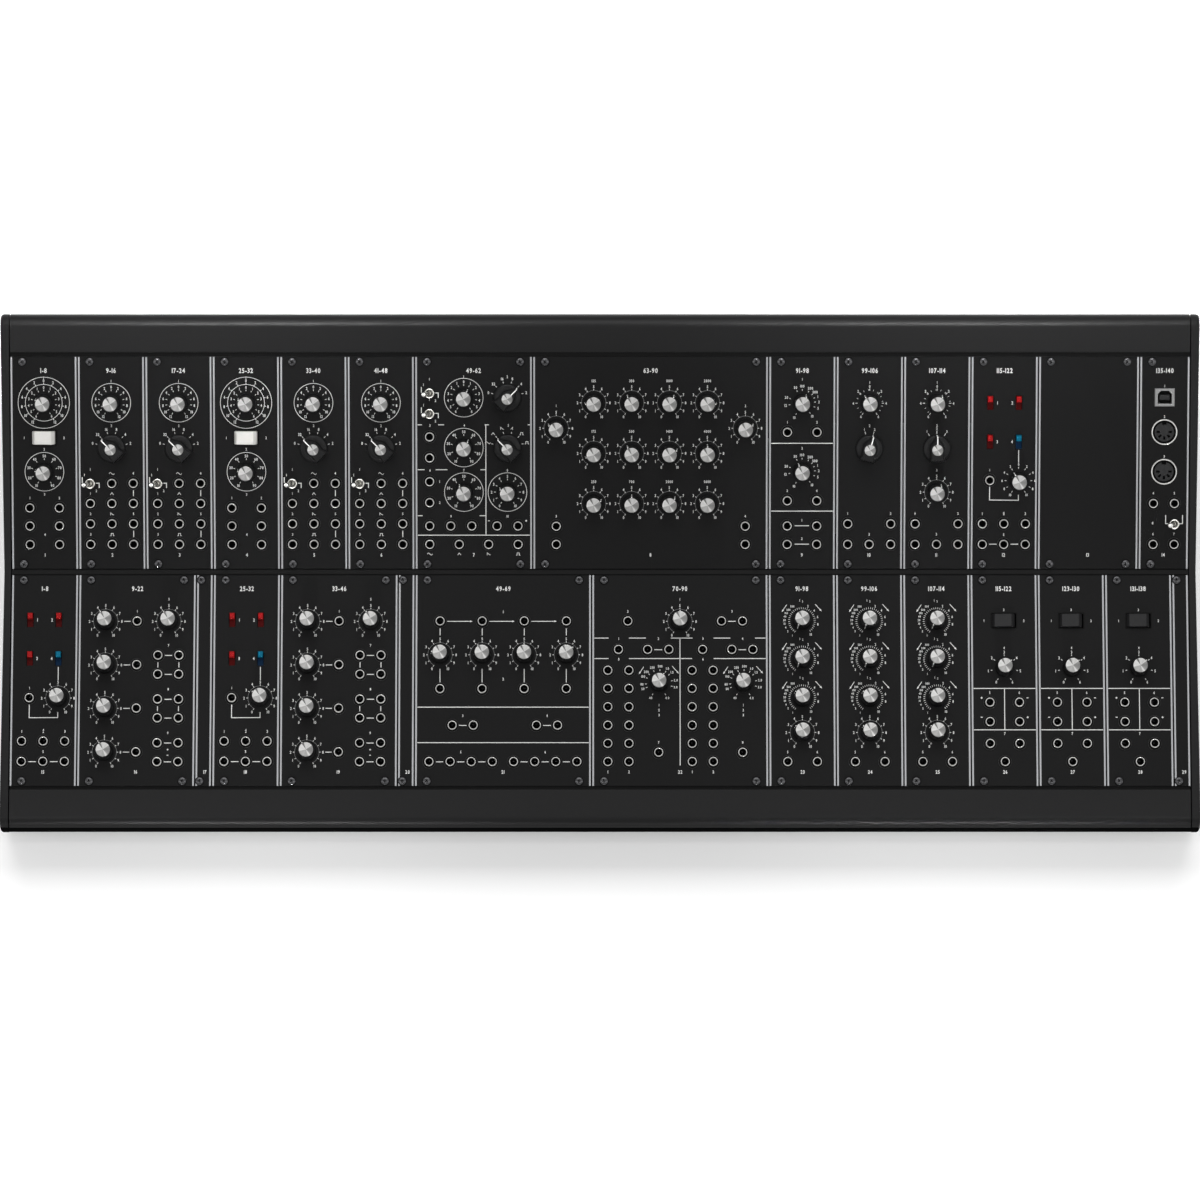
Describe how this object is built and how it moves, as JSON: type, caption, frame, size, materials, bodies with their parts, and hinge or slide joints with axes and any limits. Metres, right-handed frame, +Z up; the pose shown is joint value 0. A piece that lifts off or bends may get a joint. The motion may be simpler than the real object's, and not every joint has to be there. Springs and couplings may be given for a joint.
{
  "type": "modular synthesizer",
  "caption": "Desktop modular synthesizer: a black folded console case holding two rows of panels with knobs, selectors, switches and patch sockets.",
  "frame": {"origin": "centre of the footprint, on the plane that the foot strips stand on", "axes": "+X to the player's right along the case, +Y away from the player towards the rear wall, +Z up"},
  "size_m": [0.7226, 0.2984, 0.1331],
  "materials": {
    "case_paint": "matt black powder coat",
    "panel_paint": "matt black anodised panel",
    "sheet_paint": "fine textured black powder coat",
    "foot_rubber": "matt black rubber",
    "knob_plastic": "satin black moulded plastic",
    "knob_cap": "spun aluminium",
    "switch_nickel": "bright nickel",
    "screw_steel": "black nickel",
    "silver_print": "bare aluminium edge line",
    "white_print": "white screen print",
    "rocker_white": "white moulded plastic",
    "slide_red": "red moulded plastic",
    "slide_blue": "blue moulded plastic",
    "socket_plastic": "black moulded plastic",
    "circuit_board": "green solder mask",
    "supply_metal": "zinc plated sheet"
  },
  "bodies": {
    "console": {"base_tray": "sheet_paint", "front_trim": "case_paint", "top_trim": "case_paint", "centre_bar": "sheet_paint", "left_cheek": "case_paint", "right_cheek": "case_paint", "front_foot_strip": "foot_rubber", "rear_foot_strip": "foot_rubber", "power_supply": "supply_metal", "upper_bus_board": "circuit_board", "lower_bus_board": "circuit_board", "power_inlet": "socket_plastic", "mixer_bank_1": "panel_paint", "mixer_bank_2": "panel_paint", "attenuator_bank": "panel_paint", "trigger_interface": "panel_paint", "envelope_bank": "panel_paint", "amplifier_bank": "panel_paint", "oscillator_bank_1": "panel_paint", "oscillator_bank_2": "panel_paint", "voltage_oscillator": "panel_paint", "fixed_filter_bank": "panel_paint", "filter_bank": "panel_paint", "control_voltages": "panel_paint", "blank_panel": "panel_paint", "digital_interface": "panel_paint"},
    "driver_frequency_knob": {"driver_frequency_knob": "knob_plastic"},
    "driver_width_knob": {"driver_width_knob": "knob_plastic"},
    "oscillator_frequency_knob": {"oscillator_frequency_knob": "knob_plastic"},
    "voltage_oscillator_knob": {"voltage_oscillator_knob": "knob_plastic"},
    "bank_low_pass_knob": {"bank_low_pass_knob": "knob_plastic"},
    "bank_band_knob": {"bank_band_knob": "knob_plastic"},
    "noise_filter_knob": {"noise_filter_knob": "knob_plastic"},
    "high_pass_knob": {"high_pass_knob": "knob_plastic"},
    "low_pass_knob": {"low_pass_knob": "knob_plastic"},
    "regeneration_knob": {"regeneration_knob": "knob_plastic"},
    "control_level_knob": {"control_level_knob": "knob_plastic"},
    "mixer_channel_knob": {"mixer_channel_knob": "knob_plastic"},
    "mixer_master_knob": {"mixer_master_knob": "knob_plastic"},
    "attenuator_knob": {"attenuator_knob": "knob_plastic"},
    "sensitivity_knob": {"sensitivity_knob": "knob_plastic"},
    "delay_time_knob": {"delay_time_knob": "knob_plastic"},
    "attack_knob": {"attack_knob": "knob_plastic"},
    "decay_knob": {"decay_knob": "knob_plastic"},
    "release_knob": {"release_knob": "knob_plastic"},
    "sustain_knob": {"sustain_knob": "knob_plastic"},
    "amplifier_gain_knob": {"amplifier_gain_knob": "knob_plastic"},
    "oscillator_range_selector": {"oscillator_range_selector": "knob_plastic"},
    "voltage_range_selector": {"voltage_range_selector": "knob_plastic"},
    "waveform_selector": {"waveform_selector": "knob_plastic"},
    "high_pass_selector": {"high_pass_selector": "knob_plastic"},
    "low_pass_selector": {"low_pass_selector": "knob_plastic"},
    "oscillator_sync_toggle": {"oscillator_sync_toggle": "switch_nickel"},
    "voltage_scale_toggle": {"voltage_scale_toggle": "switch_nickel"},
    "interface_toggle": {"interface_toggle": "switch_nickel"},
    "driver_range_rocker": {"driver_range_rocker": "rocker_white"},
    "amplifier_mode_rocker": {"amplifier_mode_rocker": "knob_plastic"},
    "control_slide_switch": {"control_slide_switch": "slide_red"},
    "controller_slide_switch": {"controller_slide_switch": "slide_blue"},
    "power_switch": {"power_switch": "knob_plastic"}
  },
  "joints": [
    {"name": "driver_frequency_turn", "type": "hinge", "parent": "console", "child": "driver_frequency_knob", "pos_m": [-0.33528, 0.09705, 0.11257], "axis": [0, 0.4147, -0.91], "range_deg": [-90, 210]},
    {"name": "driver_width_turn", "type": "hinge", "parent": "console", "child": "driver_width_knob", "pos_m": [-0.33528, 0.05905, 0.09525], "axis": [0, 0.4147, -0.91], "range_deg": [-75, 225]},
    {"name": "oscillator_frequency_turn", "type": "hinge", "parent": "console", "child": "oscillator_frequency_knob", "pos_m": [-0.29464, 0.09705, 0.11257], "axis": [0, 0.4147, -0.91], "range_deg": [-45, 255]},
    {"name": "voltage_oscillator_turn", "type": "hinge", "parent": "console", "child": "voltage_oscillator_knob", "pos_m": [-0.08217, 0.09986, 0.11385], "axis": [0, 0.4147, -0.91], "range_deg": [-175, 125]},
    {"name": "bank_low_pass_turn", "type": "hinge", "parent": "console", "child": "bank_low_pass_knob", "pos_m": [-0.02642, 0.08302, 0.10617], "axis": [0, 0.4147, -0.91], "range_deg": [-90, 210]},
    {"name": "bank_band_turn", "type": "hinge", "parent": "console", "child": "bank_band_knob", "pos_m": [-0.0038, 0.09705, 0.11257], "axis": [0, 0.4147, -0.91], "range_deg": [-60, 240]},
    {"name": "noise_filter_turn", "type": "hinge", "parent": "console", "child": "noise_filter_knob", "pos_m": [0.12192, 0.09705, 0.11257], "axis": [0, 0.4147, -0.91], "range_deg": [-175, 125]},
    {"name": "high_pass_turn", "type": "hinge", "parent": "console", "child": "high_pass_knob", "pos_m": [0.16256, 0.09705, 0.11257], "axis": [0, 0.4147, -0.91], "range_deg": [-115, 185]},
    {"name": "low_pass_turn", "type": "hinge", "parent": "console", "child": "low_pass_knob", "pos_m": [0.2032, 0.09705, 0.11257], "axis": [0, 0.4147, -0.91], "range_deg": [-185, 115]},
    {"name": "regeneration_turn", "type": "hinge", "parent": "console", "child": "regeneration_knob", "pos_m": [0.2032, 0.04782, 0.09013], "axis": [0, 0.4147, -0.91], "range_deg": [-180, 120]},
    {"name": "control_level_turn", "type": "hinge", "parent": "console", "child": "control_level_knob", "pos_m": [0.25258, 0.05414, 0.09301], "axis": [0, 0.4147, -0.91], "range_deg": [-120, 180]},
    {"name": "mixer_channel_turn", "type": "hinge", "parent": "console", "child": "mixer_channel_knob", "pos_m": [-0.29846, -0.02615, 0.06528], "axis": [0, 0.1564, -0.9877], "range_deg": [-120, 180]},
    {"name": "mixer_master_turn", "type": "hinge", "parent": "console", "child": "mixer_master_knob", "pos_m": [-0.26034, -0.02615, 0.06528], "axis": [0, 0.1564, -0.9877], "range_deg": [-120, 180]},
    {"name": "attenuator_turn", "type": "hinge", "parent": "console", "child": "attenuator_knob", "pos_m": [-0.0965, -0.04633, 0.06208], "axis": [0, 0.1564, -0.9877], "range_deg": [-65, 235]},
    {"name": "sensitivity_turn", "type": "hinge", "parent": "console", "child": "sensitivity_knob", "pos_m": [0.04826, -0.02615, 0.06528], "axis": [0, 0.1564, -0.9877], "range_deg": [-150, 150]},
    {"name": "delay_time_turn", "type": "hinge", "parent": "console", "child": "delay_time_knob", "pos_m": [0.03556, -0.06334, 0.05939], "axis": [0, 0.1564, -0.9877], "range_deg": [-185, 115]},
    {"name": "attack_turn", "type": "hinge", "parent": "console", "child": "attack_knob", "pos_m": [0.12192, -0.0259, 0.06532], "axis": [0, 0.1564, -0.9877], "range_deg": [0, 300]},
    {"name": "decay_turn", "type": "hinge", "parent": "console", "child": "decay_knob", "pos_m": [0.12192, -0.04899, 0.06166], "axis": [0, 0.1564, -0.9877], "range_deg": [0, 300]},
    {"name": "release_turn", "type": "hinge", "parent": "console", "child": "release_knob", "pos_m": [0.12192, -0.07235, 0.05796], "axis": [0, 0.1564, -0.9877], "range_deg": [-90, 210]},
    {"name": "sustain_turn", "type": "hinge", "parent": "console", "child": "sustain_knob", "pos_m": [0.12192, -0.09303, 0.05469], "axis": [0, 0.1564, -0.9877], "range_deg": [-90, 210]},
    {"name": "amplifier_gain_turn", "type": "hinge", "parent": "console", "child": "amplifier_gain_knob", "pos_m": [0.24384, -0.05432, 0.06082], "axis": [0, 0.1564, -0.9877], "range_deg": [-200, 100]},
    {"name": "oscillator_range_step", "type": "hinge", "parent": "console", "child": "oscillator_range_selector", "pos_m": [-0.29464, 0.07203, 0.10116], "axis": [0, 0.4147, -0.91], "range_deg": [-30, 120]},
    {"name": "voltage_range_step", "type": "hinge", "parent": "console", "child": "voltage_range_selector", "pos_m": [-0.05586, 0.09986, 0.11385], "axis": [0, 0.4147, -0.91], "range_deg": [-120, 30]},
    {"name": "waveform_step", "type": "hinge", "parent": "console", "child": "waveform_selector", "pos_m": [-0.05586, 0.07215, 0.10121], "axis": [0, 0.4147, -0.91], "range_deg": [-30, 120]},
    {"name": "high_pass_step", "type": "hinge", "parent": "console", "child": "high_pass_selector", "pos_m": [0.16256, 0.07179, 0.10106], "axis": [0, 0.4147, -0.91], "range_deg": [-30, 0]},
    {"name": "low_pass_step", "type": "hinge", "parent": "console", "child": "low_pass_selector", "pos_m": [0.2032, 0.07179, 0.10106], "axis": [0, 0.4147, -0.91], "range_deg": [-30, 30]},
    {"name": "oscillator_sync_throw", "type": "hinge", "parent": "console", "child": "oscillator_sync_toggle", "pos_m": [-0.3076, 0.05232, 0.09328], "axis": [0, 0.91, 0.4147], "range_deg": [0, 32]},
    {"name": "voltage_scale_throw", "type": "hinge", "parent": "console", "child": "voltage_scale_toggle", "pos_m": [-0.1028, 0.10202, 0.11593], "axis": [0, 0.91, 0.4147], "range_deg": [0, 32]},
    {"name": "interface_throw", "type": "hinge", "parent": "console", "child": "interface_toggle", "pos_m": [0.3467, 0.02999, 0.0831], "axis": [0, 0.91, 0.4147], "range_deg": [0, 32]},
    {"name": "driver_range_rock", "type": "hinge", "parent": "console", "child": "driver_range_rocker", "pos_m": [-0.33528, 0.07942, 0.10013], "axis": [0, 0.91, 0.4147], "range_deg": [0, 10]},
    {"name": "amplifier_mode_rock", "type": "hinge", "parent": "console", "child": "amplifier_mode_rocker", "pos_m": [0.24384, -0.02514, 0.06139], "axis": [0, 0.9877, 0.1564], "range_deg": [0, 10]},
    {"name": "control_slide", "type": "slide", "parent": "console", "child": "control_slide_switch", "axis": [0, -0.91, -0.4147], "range_m": [0, 0.0044]},
    {"name": "controller_slide", "type": "slide", "parent": "console", "child": "controller_slide_switch", "axis": [0, -0.9877, -0.1564], "range_m": [0, 0.0044]},
    {"name": "power_switch_rock", "type": "hinge", "parent": "console", "child": "power_switch", "pos_m": [0.2608, 0.14094, 0.046], "axis": [-1, 0, 0], "range_deg": [0, 10]}
  ]
}
